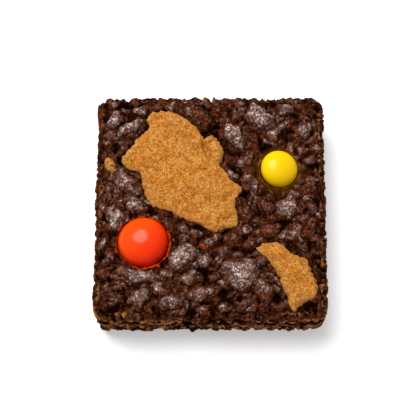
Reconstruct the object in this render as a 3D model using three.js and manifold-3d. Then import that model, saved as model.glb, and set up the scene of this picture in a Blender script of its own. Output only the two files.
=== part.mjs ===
// A square of chocolate brownie, cut from a tray. Its baked top is a crust of glossy pillows with
// creases between them, and its four cut sides are coarse, damp crumb that bulges past the crust.
// Two pieces of pale cookie and two sugar-coated chocolate sweets were pressed into the batter
// before it was baked, so each one sits in a pocket of its own shape. Millimetres, +Z up, with the
// origin under the middle of the flat base; the side at -Y is the front. The places in this file
// are measured from a point a little nearer the front, and the last step moves them.
import * as THREE from "three";
import { mergeVertices } from "three/addons/utils/BufferGeometryUtils.js";
import Module from "manifold-3d";

const wasm = await Module();
wasm.setup();

// Driving dimensions
const SIDE = 63.4; // across the crumb, from the left cut to the right
const BACK = 1.5; // how much further out the back cut lies than the front one
const CRUST_SIDE = 60.6; // across the baked crust, which stops short of the crumb
const HEIGHT = 16.8; // from the tray to the middle level of the crust
const CORNER_RADIUS = 2.6; // of the upright corners
const GAP = 0.3; // all round a piece that sits in a pocket

// Seeded random numbers, so that each build is the same
const RANDOM_FACTOR = 16807;
const RANDOM_MODULUS = 2147483647;

function randomFrom(seed) {
  let state = seed;
  return (low, high) => {
    state = (state * RANDOM_FACTOR) % RANDOM_MODULUS;
    return low + ((high - low) * state) / RANDOM_MODULUS;
  };
}

// The crust

const CREASE_DEPTH = 1.3; // how far the deepest crease lies below the crust's middle level
const EDGE_DROP = 0.4; // how far the crust sinks along its cut edges
const EDGE_WIDTH = 1.8; // the width of the strip that sinks

// The pillows that stand out most: x, y, length, width, turn in degrees, rise
const LARGE_PILLOWS = [
  // back left corner
  [-26.9, 25.4, 4.4, 3.3, 100, 1.3],
  [-22.3, 23.1, 9.2, 2.8, 43, 1.4],
  [-19.7, 29.0, 4.4, 3.2, 10, 0.8],
  [-24.2, 28.2, 2.9, 2.4, 60, 0.7],
  [-27.6, 20.8, 3.6, 3.0, 80, 0.8],
  [-27.9, 16.4, 3.6, 2.6, 90, 0.6],
  // back
  [-4.6, 26.4, 9.4, 6.0, -30, 1.3],
  [2.4, 27.6, 4.4, 3.2, 50, 0.9],
  [7.0, 21.0, 7.4, 5.2, -60, 1.4],
  [13.6, 26.0, 9.6, 5.8, -35, 1.5],
  // back right corner
  [20.4, 28.2, 5.2, 3.8, -20, 1.1],
  [18.5, 22.2, 6.0, 3.8, 30, 1.1],
  [26.3, 22.6, 5.4, 3.6, 75, 1.2],
  [27.0, 28.6, 4.2, 3.0, -30, 0.9],
  [24.6, 17.2, 4.4, 3.4, -30, 0.7],
  [9.6, 13.4, 4.6, 3.8, 30, 1.0],
  [10.6, 7.6, 4.6, 3.2, -30, 0.8],
  // left
  [-23.6, 6.6, 9.8, 5.2, -35, 1.6],
  [-20.6, 0.8, 6.8, 4.6, -30, 1.3],
  [-26.3, -3.6, 8.2, 4.4, -75, 1.5],
  [-28.0, 3.8, 8.6, 2.2, -66, 0.9],
  // right
  [15.3, 0.3, 4.8, 4.4, 60, 1.2],
  [21.1, -0.9, 6.6, 5.8, 40, 1.5],
  [25.9, 4.8, 4.2, 3.6, 20, 0.9],
  [27.0, -5.8, 6.4, 4.4, 60, 1.1],
  [22.1, -8.8, 7.8, 3.0, -8, 1.2],
  [16.4, -7.0, 5.4, 4.0, 20, 1.1],
  [9.3, -1.3, 7.8, 3.8, -80, 1.2],
  // middle, below the large cookie
  [-6.9, -7.1, 5.4, 2.4, -38, 1.1],
  [0.8, -10.0, 6.4, 3.2, 25, 1.1],
  [6.4, -9.6, 5.2, 3.0, 10, 0.9],
  [-11.8, -4.8, 5.0, 2.8, -35, 0.9],
  [11.2, -11.0, 4.0, 3.2, 30, 0.8],
  // front left
  [-19.2, -20.0, 12.6, 3.8, -10, 1.4],
  [-27.5, -14.2, 5.2, 3.0, -70, 1.0],
  [-25.0, -23.4, 6.4, 3.4, 15, 1.1],
  [-19.4, -25.8, 6.2, 4.4, -5, 1.3],
  [-14.6, -23.8, 5.2, 4.0, -40, 1.1],
  [-27.4, -19.0, 3.2, 2.6, 80, 0.7],
  // front
  [-7.8, -14.8, 8.8, 6.8, 35, 1.6],
  [-1.9, -15.0, 4.8, 3.4, 55, 1.2],
  [-5.3, -20.8, 7.6, 3.8, 22, 1.1],
  [-10.4, -26.8, 7.2, 4.2, -5, 1.2],
  [-3.0, -24.8, 8.4, 3.6, 28, 1.2],
  [1.4, -20.2, 4.2, 3.0, -20, 0.8],
  // front right
  [8.3, -19.4, 10.4, 9.0, -20, 1.9],
  [13.8, -24.0, 6.6, 5.4, -45, 1.5],
  [9.6, -27.4, 4.8, 3.2, 20, 0.9],
  [13.4, -16.6, 4.0, 3.4, 40, 1.2],
];

const SMALL_PILLOW = { length: [2.8, 5.0], width: [2.0, 3.4], rise: [0.05, 0.75] };
const SMALL_PILLOW_SPACING = 2.3; // between their middles
const SMALL_PILLOW_TRIES = 1400;
const CRUST_SEED = 4711;

function pillow(x, y, length, width, turnDegrees, rise) {
  const turn = THREE.MathUtils.degToRad(turnDegrees);
  const cos = Math.cos(turn);
  const sin = Math.sin(turn);
  return { x, y, halfLength: length / 2, halfWidth: width / 2, cos, sin, rise };
}

// The square of how far a place is from a pillow's middle, as a share of its half size
function distanceIn(one, x, y) {
  const along = ((x - one.x) * one.cos + (y - one.y) * one.sin) / one.halfLength;
  const across = ((y - one.y) * one.cos - (x - one.x) * one.sin) / one.halfWidth;
  return along * along + across * across;
}

// The crust between the large pillows is filled with small ones, thrown at random and kept
// where they aren't on a large pillow or too near another small one
function fillWithSmall(large) {
  const random = randomFrom(CRUST_SEED);
  const half = CRUST_SIDE / 2;
  const small = [];
  for (let i = 0; i < SMALL_PILLOW_TRIES; i++) {
    const x = random(-half, half);
    const y = random(-half, half + BACK);
    const length = random(...SMALL_PILLOW.length);
    const width = random(...SMALL_PILLOW.width);
    const turn = random(-90, 90);
    const rise = random(...SMALL_PILLOW.rise);
    if (large.some((one) => distanceIn(one, x, y) < 1)) continue;
    if (small.some((one) => Math.hypot(one.x - x, one.y - y) < SMALL_PILLOW_SPACING)) continue;
    small.push(pillow(x, y, length, width, turn, rise));
  }
  return small;
}

const largePillows = LARGE_PILLOWS.map((row) => pillow(...row));
const pillows = [...largePillows, ...fillWithSmall(largePillows)];

// Neighbouring pillows meet in a crease, because the higher dome of any two is the one that shows
function highestDome(domes, x, y) {
  const heightOf = (one) => one.rise * (1 - distanceIn(one, x, y));
  return domes.reduce((best, one) => Math.max(best, heightOf(one)), -Infinity);
}

// The batter flowed while it baked, so no pillow is a true ellipse
function flowed(x, y) {
  return [
    x + 0.5 * Math.sin(0.61 * y + 0.9) + 0.28 * Math.sin(1.37 * y - 0.53 * x + 2.1),
    y + 0.5 * Math.sin(0.67 * x + 2.4) + 0.28 * Math.sin(1.29 * x + 0.47 * y + 0.4),
  ];
}

function crustHeight(x, y) {
  const half = CRUST_SIDE / 2;
  const fromEdge = Math.min(half - Math.abs(x), half + y, half + BACK - y);
  const sunk = Math.max(0, 1 - fromEdge / EDGE_WIDTH);
  const relief = Math.max(-CREASE_DEPTH, highestDome(pillows, ...flowed(x, y)));
  return HEIGHT + relief - EDGE_DROP * sunk * sunk;
}

// The cut sides

const CRUMB_BULGE = 1.1; // how far the crumb stands past the crust's edge
const BULGE_BELOW = 0.7; // how far below the crust it is fully out
const FOOT_BULGE = -0.6; // and at the tray, where it draws in
const FOOT_START = 7; // the height at which it starts to draw in
const TORN_BACK = 0.35; // how far it is torn back between crumbs
const CRUMB = { length: [2.6, 6.0], height: [1.6, 2.8], rise: [0.1, 0.85] };
const CRUMB_SPACING = { apart: 1.5, flat: 1.6 }; // flat is how much further apart they are along the cut
const CRUMB_TRIES = 2000;
const FOOT = { length: [2.4, 4.2], height: [2.0, 3.2], rise: [0.5, 0.95], pitch: 4.2 };
const HOLLOW = { length: [3.0, 5.2], height: [1.9, 2.9], depth: [0.8, 1.5], pitch: 4.6 };
const HOLLOW_LEVELS = [4.2, 11.2]; // two uneven rows of torn hollows run round the sides
const CRUMB_SEED = 90210;

// Places on the sides are the distance round the square and the height. Crumbs lie along the cut,
// longer than they are high, as the knife dragged them, and a row of larger ones stands on the tray.
const ROUND = 4 * CRUST_SIDE;

function makeCrumbs(random) {
  const crumbs = [];
  for (let start = 0; start < ROUND; start += FOOT.pitch) {
    const along = start + random(0, FOOT.pitch / 2);
    const length = random(...FOOT.length);
    crumbs.push(pillow(along, random(0.5, 1.3), length, random(...FOOT.height), 0, random(...FOOT.rise)));
  }
  for (let i = 0; i < CRUMB_TRIES; i++) {
    const along = random(0, ROUND);
    const height = random(1.5, HEIGHT);
    const length = random(...CRUMB.length);
    const thickness = random(...CRUMB.height);
    const turn = random(-14, 14);
    const rise = random(...CRUMB.rise);
    const apart = (one) => Math.hypot((one.x - along) / CRUMB_SPACING.flat, one.y - height);
    if (crumbs.some((one) => apart(one) < CRUMB_SPACING.apart)) continue;
    crumbs.push(pillow(along, height, length, thickness, turn, rise));
  }
  return crumbs;
}

function makeHollows(random) {
  const hollows = [];
  for (const level of HOLLOW_LEVELS) {
    for (let start = 0; start < ROUND; start += HOLLOW.pitch) {
      const along = start + random(0, HOLLOW.pitch * 0.6);
      const height = level + random(-1.1, 1.1);
      const length = random(...HOLLOW.length);
      const thickness = random(...HOLLOW.height);
      hollows.push(pillow(along, height, length, thickness, random(-10, 10), random(...HOLLOW.depth)));
    }
  }
  return hollows;
}

const sideRandom = randomFrom(CRUMB_SEED);
const crumbs = makeCrumbs(sideRandom);
const hollows = makeHollows(sideRandom);

// How far the side stands past the crust's edge
function sideReach(along, height, crustLevel) {
  const swell = Math.sin(Math.min(1, (crustLevel - height) / BULGE_BELOW) * (Math.PI / 2));
  const drawnIn = Math.max(0, 1 - height / FOOT_START) ** 2;
  const bulge = CRUMB_BULGE - (CRUMB_BULGE - FOOT_BULGE) * drawnIn;
  const crumb = Math.max(-TORN_BACK, highestDome(crumbs, along, height));
  const hollow = Math.max(0, highestDome(hollows, along, height));
  return (bulge + crumb - hollow) * swell;
}

// The body: a grid over the crust, rows down the sides, and a flat base

const GRID = 48; // cells along each side of the crust
const ROWS = [0.05, 0.14, 0.26, 0.38, 0.51, 0.65, 0.82, 1]; // shares of the way down

// A place in the square from -1 to 1, carried onto a square of the crust's size with round corners,
// and then stretched a little toward the back
function onRoundedSquare(u, v) {
  const size = Math.max(Math.abs(u), Math.abs(v));
  if (size === 0) return { x: 0, y: 0 };
  const half = CRUST_SIDE / 2;
  const inner = half - CORNER_RADIUS;
  const edge = new THREE.Vector2((u / size) * half, (v / size) * half);
  const core = new THREE.Vector2(
    THREE.MathUtils.clamp(edge.x, -inner, inner),
    THREE.MathUtils.clamp(edge.y, -inner, inner),
  );
  const out = edge.clone().sub(core).normalize();
  const place = core.addScaledVector(out, CORNER_RADIUS).multiplyScalar(size);
  const stretched = place.y + BACK * Math.max(0, place.y / half);
  return { x: place.x, y: stretched, outX: out.x, outY: out.y };
}

// The corners of the grid's rim in order, anticlockwise from the front left corner
function rimCells() {
  const rim = [];
  for (let i = 0; i < GRID; i++) rim.push([i, 0]);
  for (let i = 0; i < GRID; i++) rim.push([GRID, i]);
  for (let i = GRID; i > 0; i--) rim.push([i, GRID]);
  for (let i = GRID; i > 0; i--) rim.push([0, i]);
  return rim;
}

function brownieGeometry() {
  const positions = [];
  const triangles = [];
  const add = (x, y, z) => positions.push(x, y, z) / 3 - 1;
  const gridPoint = (i, j) => j * (GRID + 1) + i;

  for (let j = 0; j <= GRID; j++) {
    for (let i = 0; i <= GRID; i++) {
      const { x, y } = onRoundedSquare((2 * i) / GRID - 1, (2 * j) / GRID - 1);
      add(x, y, crustHeight(x, y));
    }
  }
  for (let j = 0; j < GRID; j++) {
    for (let i = 0; i < GRID; i++) {
      const [a, b] = [gridPoint(i, j), gridPoint(i + 1, j)];
      const [c, d] = [gridPoint(i + 1, j + 1), gridPoint(i, j + 1)];
      triangles.push(a, b, c, a, c, d);
    }
  }

  const rim = rimCells();
  const limit = SIDE / 2;
  let upper = rim.map(([i, j]) => gridPoint(i, j));
  for (const share of ROWS) {
    const lower = rim.map(([i, j], n) => {
      const { x, y, outX, outY } = onRoundedSquare((2 * i) / GRID - 1, (2 * j) / GRID - 1);
      const along = (n * ROUND) / rim.length;
      const crustLevel = crustHeight(x, y);
      const height = crustLevel * (1 - share);
      const reach = sideReach(along, height, crustLevel);
      return add(
        THREE.MathUtils.clamp(x + outX * reach, -limit, limit),
        THREE.MathUtils.clamp(y + outY * reach, -limit, limit + BACK),
        height,
      );
    });
    upper.forEach((a, n) => {
      const next = (n + 1) % rim.length;
      triangles.push(a, lower[n], upper[next], upper[next], lower[n], lower[next]);
    });
    upper = lower;
  }

  const middle = add(0, 0, 0);
  upper.forEach((a, n) => triangles.push(middle, upper[(n + 1) % rim.length], a));
  return geometryOf(positions, triangles);
}

function geometryOf(positions, triangles) {
  return new THREE.BufferGeometry()
    .setAttribute("position", new THREE.Float32BufferAttribute(positions, 3))
    .setIndex(triangles);
}

// The cookie pieces

// Each outline runs round the part that shows, as x, y
const LARGE_COOKIE = {
  name: "cookie_large",
  middle: [-8, 8.6],
  level: HEIGHT + 0.35,
  lean: [0.035, 0.01], // how much it climbs along x and y
  depth: 7.5,
  outline: [
    [-16.5, 27.8], [-14.2, 28.5], [-10.8, 28.1], [-8.2, 27.0], [-5.8, 25.1], [-3.8, 23.4], [-2.1, 20.6],
    [0.0, 20.8], [2.0, 19.3], [3.4, 16.1], [3.4, 13.4], [3.0, 11.6], [4.4, 9.6], [6.2, 7.4], [8.4, 5.3],
    [7.3, 2.8], [6.8, 0.0], [7.5, -3.0], [6.9, -5.9], [4.0, -6.3], [1.0, -7.5], [-3.2, -5.2], [-8.0, -3.3],
    [-11.6, -1.4], [-15.2, -0.2], [-17.2, 1.6], [-18.8, 5.6], [-19.6, 9.8], [-22.8, 11.0], [-24.7, 14.0],
    [-23.2, 17.2], [-20.0, 20.6], [-17.2, 23.6], [-18.0, 25.9],
  ],
  crown: 0.4, // how far its middle stands above its rim
  // x, y, length, width, turn, rise; the one that sinks is a crease
  lumps: [
    [-8.0, 8.4, 44, 30, -62, 1.0],
    [-17.0, 13.6, 11, 8, 20, 0.7],
    [-11.6, 22.2, 11, 8, -35, 0.8],
    [1.9, 15.2, 6, 8, 10, 1.1],
    [-0.8, 15.0, 10.5, 3.2, -72, -1.7],
    [-4.4, 5.6, 12, 9, -30, 0.6],
    [3.4, -2.6, 9, 7, 20, 0.5],
    [-12.6, 4.4, 9, 7, 60, 0.5],
  ],
  rings: 6,
};

const SMALL_COOKIE = {
  name: "cookie_small",
  middle: [22.2, -20.6],
  level: HEIGHT + 0.1,
  lean: [0, 0.03],
  depth: 6,
  outline: [
    [12.8, -12.0], [13.8, -10.8], [15.8, -10.3], [18.0, -10.5], [20.1, -11.6], [22.6, -13.9], [25.0, -14.5],
    [26.8, -16.6], [28.7, -21.2], [28.8, -24.2], [26.8, -26.6], [23.8, -28.7], [22.4, -29.5], [21.2, -28.4],
    [20.4, -25.4], [18.9, -21.4], [17.4, -18.2], [15.4, -15.2], [13.2, -13.3],
  ],
  crown: 0.3,
  lumps: [
    [23.4, -20.4, 24, 12, -58, 0.8],
    [25.2, -19.0, 9, 5, -60, 0.6],
    [17.4, -13.4, 8, 5, -30, 0.6],
    [23.6, -25.4, 8, 5, -70, 0.5],
  ],
  rings: 5,
};

const COOKIE_RIM = 0.9; // how far the top rounds down to its rim
const COOKIE_EDGE = 1.6; // how high its upright edge is
const POINTS_PER_CORNER = 2;
const MOULD_RISE = 6; // how far a mould that cuts a pocket stands above the crust

function cookieRim(cookie, grow) {
  const corners = cookie.outline.map(([x, y]) => new THREE.Vector3(x, y, 0));
  const curve = new THREE.CatmullRomCurve3(corners, true, "centripetal");
  const count = cookie.outline.length * POINTS_PER_CORNER;
  // The outlines run clockwise, so outwards is to the left of the way along them
  return Array.from({ length: count }, (_, n) => {
    const place = curve.getPoint(n / count);
    const along = curve.getTangent(n / count);
    return [place.x - along.y * grow, place.y + along.x * grow];
  });
}

function softLump(one, x, y) {
  return one.rise * Math.max(0, 1 - distanceIn(one, x, y)) ** 2;
}

// size is the share of the way from the middle to the rim
function cookieTop(cookie, x, y, size) {
  const [middleX, middleY] = cookie.middle;
  const leaning = cookie.lean[0] * (x - middleX) + cookie.lean[1] * (y - middleY);
  const crown = cookie.crown * (1 - size * size) - COOKIE_RIM * size ** 8;
  const lumps = cookie.lumps.reduce((sum, row) => sum + softLump(pillow(...row), x, y), 0);
  return cookie.level + leaning + crown + lumps;
}

// Rings of the outline shrink onto its middle, over the top and again under the bowl of the base.
// A mould is the same form grown by the gap and carried up past the crust, to cut the pocket.
function cookieGeometry(cookie, mould) {
  const grow = mould ? GAP : 0;
  const rim = cookieRim(cookie, grow);
  const [middleX, middleY] = cookie.middle;
  const positions = [];
  const triangles = [];
  const add = (x, y, z) => positions.push(x, y, z) / 3 - 1;
  const ring = (size, heightAt) =>
    rim.map(([x, y]) => {
      const ringX = middleX + (x - middleX) * size;
      const ringY = middleY + (y - middleY) * size;
      return add(ringX, ringY, heightAt(ringX, ringY));
    });
  const top = (size) => (x, y) => (mould ? HEIGHT + MOULD_RISE : cookieTop(cookie, x, y, size));
  const bowl = cookie.depth - COOKIE_EDGE;
  const base = (size) => () => cookie.level - COOKIE_EDGE - grow - bowl * Math.sqrt(1 - size * size);

  const turnOf = (n) => ((n + 1) / cookie.rings) * (Math.PI / 2);
  const sizes = Array.from({ length: cookie.rings }, (_, n) => Math.sin(turnOf(n)));
  const rings = [
    ...(mould ? [1] : sizes).map((size) => ring(size, top(size))),
    ...[...sizes].reverse().map((size) => ring(size, base(size))),
  ];
  const crown = add(middleX, middleY, top(0)(middleX, middleY));
  const bottom = add(middleX, middleY, base(0)());
  rim.forEach((_, n) => {
    const next = (n + 1) % rim.length;
    triangles.push(crown, rings[0][next], rings[0][n]);
    for (let k = 0; k + 1 < rings.length; k++) {
      const [inner, outer] = [rings[k], rings[k + 1]];
      triangles.push(inner[n], inner[next], outer[n], outer[n], inner[next], outer[next]);
    }
    const last = rings[rings.length - 1];
    triangles.push(bottom, last[n], last[next]);
  });
  return geometryOf(positions, triangles);
}

// The sweets: flattened balls with a hard sugar shell

const SWEETS = [
  {
    name: "candy_orange",
    colour: 0xee3a02,
    place: [-18.4, -10.5, HEIGHT + 0.4],
    radius: 6.8,
    half: 4.5,
    lean: [2, -8], // degrees about X and Y
  },
  {
    name: "candy_yellow",
    colour: 0xf4c603,
    place: [19.0, 10.7, HEIGHT + 0.6],
    radius: 5.2,
    half: 3.6,
    lean: [2, 16],
  },
];
const SWEET_SIDES = 24;
const SWEET_STEPS = 12; // from pole to pole

function sweetGeometry(sweet) {
  const profile = Array.from({ length: SWEET_STEPS + 1 }, (_, n) => {
    const angle = (n / SWEET_STEPS - 0.5) * Math.PI;
    const onAxis = n === 0 || n === SWEET_STEPS;
    return new THREE.Vector2(onAxis ? 0 : sweet.radius * Math.cos(angle), sweet.half * Math.sin(angle));
  });
  return new THREE.LatheGeometry(profile, SWEET_SIDES).rotateX(Math.PI / 2);
}

// The sweet's lower half grown by the gap, with a straight shaft above it
function socketGeometry(sweet) {
  const [radius, half] = [sweet.radius + GAP, sweet.half + GAP];
  const steps = SWEET_STEPS / 2;
  const bowl = Array.from({ length: steps + 1 }, (_, n) => {
    const angle = (n / steps - 1) * (Math.PI / 2);
    return new THREE.Vector2(n === 0 ? 0 : radius * Math.cos(angle), half * Math.sin(angle));
  });
  const shaft = [new THREE.Vector2(radius, MOULD_RISE), new THREE.Vector2(0, MOULD_RISE)];
  return new THREE.LatheGeometry([...bowl, ...shaft], SWEET_SIDES).rotateX(Math.PI / 2);
}

function leaned(geometry, sweet) {
  const [aboutX, aboutY] = sweet.lean.map(THREE.MathUtils.degToRad);
  return geometry.rotateX(aboutX).rotateY(aboutY).translate(...sweet.place);
}

// Crumbs of cookie that show in the crust and in the cut sides, and a flake of sugar shell. They
// are baked into the batter, so they are part of the body: place, half sizes, turn.
const BITS = [
  { place: [-27.9, 12.1, HEIGHT + 0.2], half: [1.3, 2.2, 0.8], turn: 26 },
  { place: [-30.7, -27.2, 12.4], half: [0.9, 1.5, 1.6], turn: 0 },
  { place: [-23.1, -30.5, 15.8], half: [0.8, 0.7, 0.6], turn: 0 },
  { place: [-2.2, -11.7, HEIGHT + 0.4], half: [1.0, 0.5, 0.5], turn: -25 },
];
const BIT_SIDES = 10;
const BIT_STEPS = 6;

function bitGeometry(bit) {
  return new THREE.SphereGeometry(1, BIT_SIDES, BIT_STEPS)
    .scale(...bit.half)
    .rotateZ(THREE.MathUtils.degToRad(bit.turn))
    .translate(...bit.place);
}

// Cutting the pockets

function solidOf(geometry) {
  geometry.deleteAttribute("normal");
  geometry.deleteAttribute("uv");
  const merged = mergeVertices(geometry);
  return new wasm.Manifold(
    new wasm.Mesh({
      numProp: 3,
      vertProperties: merged.attributes.position.array,
      triVerts: new Uint32Array(merged.index.array),
    }),
  );
}

function geometryFrom(solid) {
  const mesh = solid.getMesh();
  return geometryOf(Array.from(mesh.vertProperties), Array.from(mesh.triVerts));
}

function largestOf(solid) {
  return solid.decompose().reduce((best, one) => (one.volume() > best.volume() ? one : best));
}

const moulds = [
  ...[LARGE_COOKIE, SMALL_COOKIE].map((cookie) => cookieGeometry(cookie, true)),
  ...SWEETS.map((sweet) => leaned(socketGeometry(sweet), sweet)),
];
const baked = BITS.reduce((body, bit) => body.add(solidOf(bitGeometry(bit))), solidOf(brownieGeometry()));
const pocketed = moulds.reduce((body, mould) => body.subtract(solidOf(mould)), baked);

// The finished brownie

const brownie = new THREE.Group();

function place(name, geometry, colour, roughness) {
  geometry.translate(0, -BACK / 2, 0); // so that the origin is under the middle
  geometry.computeVertexNormals();
  const material = new THREE.MeshStandardMaterial({ color: colour, roughness, metalness: 0 });
  const mesh = new THREE.Mesh(geometry, material);
  mesh.name = name;
  brownie.add(mesh);
}

place("brownie", geometryFrom(largestOf(pocketed)), 0x4a2415, 0.55);
for (const cookie of [LARGE_COOKIE, SMALL_COOKIE]) {
  place(cookie.name, cookieGeometry(cookie, false), 0xcb853a, 0.85);
}
for (const sweet of SWEETS) {
  place(sweet.name, leaned(sweetGeometry(sweet), sweet), sweet.colour, 0.3);
}

export default brownie;
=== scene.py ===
import math

import bpy
import numpy as np
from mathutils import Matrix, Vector, noise


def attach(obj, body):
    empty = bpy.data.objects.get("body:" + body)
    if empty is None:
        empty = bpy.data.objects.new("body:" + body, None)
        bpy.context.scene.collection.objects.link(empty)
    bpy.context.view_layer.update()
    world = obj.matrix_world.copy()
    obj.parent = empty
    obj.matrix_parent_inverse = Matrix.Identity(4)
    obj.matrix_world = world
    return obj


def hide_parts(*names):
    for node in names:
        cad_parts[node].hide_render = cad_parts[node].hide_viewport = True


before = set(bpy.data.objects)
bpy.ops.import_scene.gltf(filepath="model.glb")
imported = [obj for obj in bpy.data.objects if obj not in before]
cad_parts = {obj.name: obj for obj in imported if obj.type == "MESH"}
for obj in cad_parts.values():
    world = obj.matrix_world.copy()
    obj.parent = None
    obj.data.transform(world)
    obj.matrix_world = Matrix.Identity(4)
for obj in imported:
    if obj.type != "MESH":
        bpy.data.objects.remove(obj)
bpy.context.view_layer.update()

# The cookie pieces. A pale, sandy cookie was baked first and broken up, and two pieces of it were
# pressed into the batter, so only their tops and the upper part of their edges show. They are
# butter, sugar and flour: a grainy, matt crumb with pinholes. Shade is painted into its colour:
# darker between the grains, in the pinholes and the crease, and down where it sits in the batter.

MM = 0.001
MIDDLE = np.array((0, 0.75, 0))  # mm, where the object's origin lies in the numbers of this file
CRUST_LEVEL = 16.8  # mm from the base to the middle level of the crust
COOKIE_EDGE = 1.6  # mm, the upright edge of a piece
COOKIE_ROUND = 1.3  # mm, the radius that its top turns down with
COOKIE_FALL = 0.8  # how much of that radius the top falls by
BOWL_RINGS = 9  # in the shallow bowl below the upright edge
SMALLEST_RING = 0.004  # the innermost one, as a share of the way from the middle to the edge

# Each piece's middle, the level of its top, its slope to the right and to the back, its depth, how
# far its middle is crowned, how ragged its edge is, the vertices round it and the rings across it.
# Outlines run round the part that shows. Lumps are x, y, length, width, turn in degrees and rise,
# and the one that sinks is the crease between the main piece and the knob on its right.
COOKIES = {
    "cookie_large": {
        "middle": (-8.0, 8.6), "level": CRUST_LEVEL + 0.35, "lean": (0.035, 0.01), "depth": 7.5,
        "crown": 0.4, "crumbled": 0.4, "around": 540, "rings": 92,
        "outline": [
            (-16.5, 27.8), (-14.2, 28.5), (-10.8, 28.1), (-8.2, 27.0), (-5.8, 25.1), (-3.8, 23.4),
            (-2.0, 20.0), (0.0, 20.9), (2.1, 19.3), (3.5, 16.1), (3.2, 13.2), (2.6, 11.8), (4.4, 9.8),
            (6.2, 7.4), (8.4, 5.3), (7.3, 2.8), (6.8, 0.0), (7.5, -3.0), (6.9, -5.9), (4.0, -6.3),
            (1.0, -7.5), (-3.2, -5.2), (-8.0, -3.3), (-11.6, -1.4), (-15.2, -0.2), (-17.2, 1.6),
            (-18.8, 5.6), (-19.6, 9.8), (-22.8, 11.0), (-24.7, 14.0), (-23.2, 17.2), (-20.0, 20.6),
            (-17.2, 23.6), (-18.0, 25.9),
        ],
        "lumps": [
            (-8.0, 8.4, 44, 30, -62, 1.0), (-17.0, 13.6, 11, 8, 20, 0.7), (-11.6, 22.2, 11, 8, -35, 0.8),
            (1.9, 15.2, 6, 8, 10, 1.1), (-1.2, 16.6, 9.0, 2.8, -72, -1.9), (-4.4, 5.6, 12, 9, -30, 0.6),
            (3.4, -2.6, 9, 7, 20, 0.5), (-12.6, 4.4, 9, 7, 60, 0.5),
        ],
    },
    "cookie_small": {
        "middle": (22.2, -20.6), "level": CRUST_LEVEL + 0.1, "lean": (0.0, 0.03), "depth": 6.0,
        "crown": 0.3, "crumbled": 1.0, "around": 320, "rings": 44,
        "outline": [
            (12.8, -12.0), (13.8, -10.8), (15.8, -10.3), (18.0, -10.5), (20.1, -11.6), (22.6, -13.9),
            (25.0, -14.5), (26.8, -16.6), (28.7, -21.2), (28.8, -24.2), (26.8, -26.6), (23.8, -28.7),
            (22.4, -29.5), (21.2, -28.4), (20.4, -25.4), (18.9, -21.4), (17.4, -18.2), (15.4, -15.2),
            (13.2, -13.3),
        ],
        "lumps": [
            (23.4, -20.4, 24, 12, -58, 0.8), (25.2, -19.0, 9, 5, -60, 0.6),
            (17.4, -13.4, 8, 5, -30, 0.6), (23.6, -25.4, 8, 5, -70, 0.5),
        ],
    },
}


def closed_curve(corners, count):
    """A smooth closed line through the corners, as an array of points."""
    corners = np.array(corners, float)
    place = np.arange(count) * len(corners) / count
    first = place.astype(int)
    t = (place - first)[:, None]
    a, b, c, d = (corners[(first + step) % len(corners)] for step in (-1, 0, 1, 2))
    slope, bend, twist = c - a, 2 * a - 5 * b + 4 * c - d, 3 * b - a - 3 * c + d
    return b + 0.5 * (slope * t + bend * t**2 + twist * t**3)


def distance_inside(points, outline):
    """How far each point lies inside a closed outline, negative outside."""
    nearest = np.full(len(points), np.inf)
    inside = np.zeros(len(points), bool)
    for start, end in zip(outline, np.roll(outline, -1, axis=0)):
        way = end - start
        share = np.clip(((points - start) @ way) / (way @ way), 0, 1)
        nearest = np.minimum(nearest, np.hypot(*(points - start - share[:, None] * way).T))
        if start[1] != end[1]:
            spans = (start[1] > points[:, 1]) != (end[1] > points[:, 1])
            crossing = start[0] + (points[:, 1] - start[1]) * way[0] / way[1]
            inside ^= spans & (points[:, 0] < crossing)
    return np.where(inside, nearest, -nearest)


def distance_in(dome, x, y):
    """The square of how far places are from a dome's middle, as a share of its half size."""
    middle_x, middle_y, length, width, turn = dome[:5]
    cos, sin = math.cos(math.radians(turn)), math.sin(math.radians(turn))
    along = ((x - middle_x) * cos + (y - middle_y) * sin) / (length / 2)
    across = ((y - middle_y) * cos - (x - middle_x) * sin) / (width / 2)
    return along**2 + across**2


def soft_noise(points, size, octaves=3):
    """Smooth noise around 0, with lumps about size mm apart. Each use moves the points by a number
    of its own, so that no two patterns are alike."""
    return np.array([noise.fractal(Vector(p) / size, 0.9, 2.1, octaves) for p in points])


def cells(points, size):
    """Distances to the two nearest of scattered seeds, as shares of the seeds' spacing."""
    found = np.array([noise.voronoi(Vector(p) / size)[0][:2] for p in points])
    return found[:, 0], found[:, 1]


def smooth_step(low, high, value):
    """0 where the value is low, 1 where it is high, and a soft change between."""
    share = np.clip((value - low) / (high - low), 0, 1)
    return share * share * (3 - 2 * share)


def grainy(points):
    """The sandy surface of the cookie, in mm: round grains stuck together, and pinholes."""
    coarse, _ = cells(points, 1.05)
    fine, _ = cells(points + 40, 0.55)
    hole, _ = cells(points + 90, 1.9)
    pinholes = 0.26 * smooth_step(0.17, 0.07, hole)
    return 0.36 * (0.30 - coarse**2) + 0.16 * (0.30 - fine**2) - pinholes


def mesh_object(name, vertices_mm, faces, attributes):
    """A smooth-shaded object in metres, with one number at each vertex for each attribute."""
    mesh = bpy.data.meshes.new(name)
    mesh.from_pydata(((np.asarray(vertices_mm) - MIDDLE) * MM).tolist(), [], faces)
    for label, values in attributes.items():
        attribute = mesh.attributes.new(label, "FLOAT", "POINT")
        attribute.data.foreach_set("value", np.asarray(values, np.float32))
    mesh.polygons.foreach_set("use_smooth", np.ones(len(mesh.polygons), bool))
    mesh.update()
    made = bpy.data.objects.new(name, mesh)
    bpy.context.collection.objects.link(made)
    return made


def ring_faces(rings, around):
    """Quads between rings of vertices that follow each other."""
    step = np.arange(around)
    faces = []
    for k in range(rings - 1):
        inner, outer = k * around + step, (k + 1) * around + step
        after = np.roll(step, -1)
        faces += np.stack([inner, outer, k * around + after + around, k * around + after], 1).tolist()
    return faces


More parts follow.
